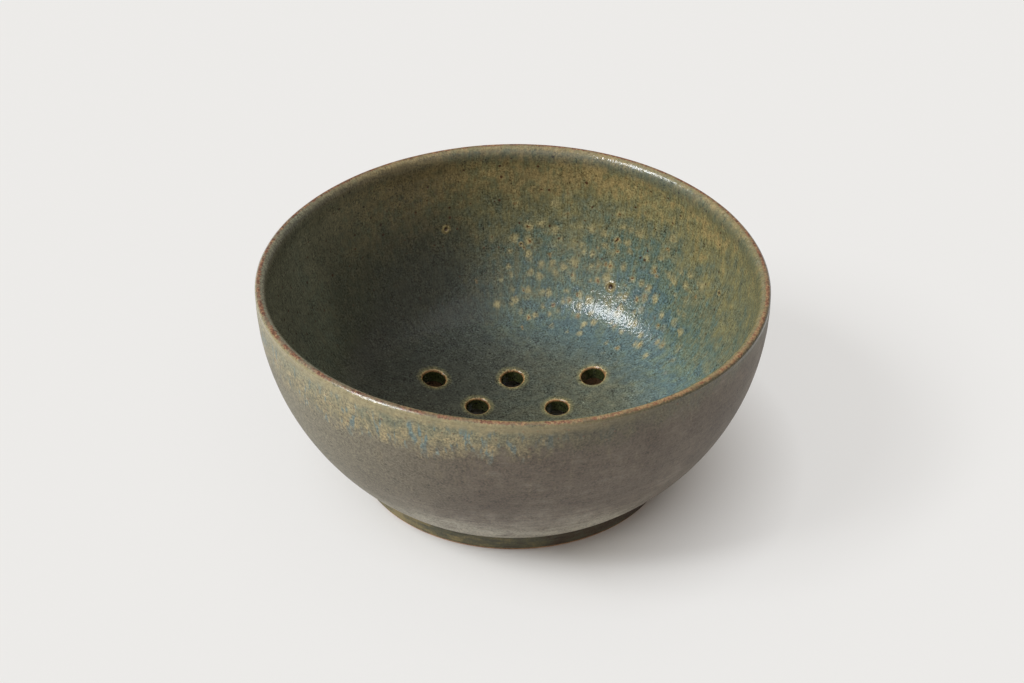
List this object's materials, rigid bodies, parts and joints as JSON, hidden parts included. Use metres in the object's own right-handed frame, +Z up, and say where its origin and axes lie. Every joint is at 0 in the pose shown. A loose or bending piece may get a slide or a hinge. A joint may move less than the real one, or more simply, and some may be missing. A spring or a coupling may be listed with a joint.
{
  "type": "berry bowl",
  "caption": "Round hand-thrown stoneware berry bowl on a low foot ring, with drain holes through its dished floor, glazed olive, tan and blue inside and matt grey-brown outside.",
  "frame": {"origin": "centre of the foot ring's contact face, on the table", "axes": "+Z up along the bowl's axis; +X to the right and +Y to the back as the picture shows the bowl, along the rows of drain holes"},
  "size_m": [0.166, 0.166, 0.0738],
  "materials": {
    "clay": "bare fired stoneware, matt",
    "inside_glaze": "satin glaze, olive and tan above, pooling blue below",
    "rim_glaze": "satin glaze, tan with blue streaks, breaking brown on the lip",
    "outside_glaze": "matt grey-brown glaze with turning lines",
    "foot_glaze": "satin green-brown glaze",
    "underside_glaze": "satin glaze"
  },
  "bodies": {
    "root": {"bowl_body": "clay", "foot_ring": "clay", "inside_glaze": "inside_glaze", "rim_glaze": "rim_glaze", "outside_glaze": "outside_glaze", "foot_glaze": "foot_glaze", "underside_glaze": "underside_glaze"}
  },
  "joints": []
}
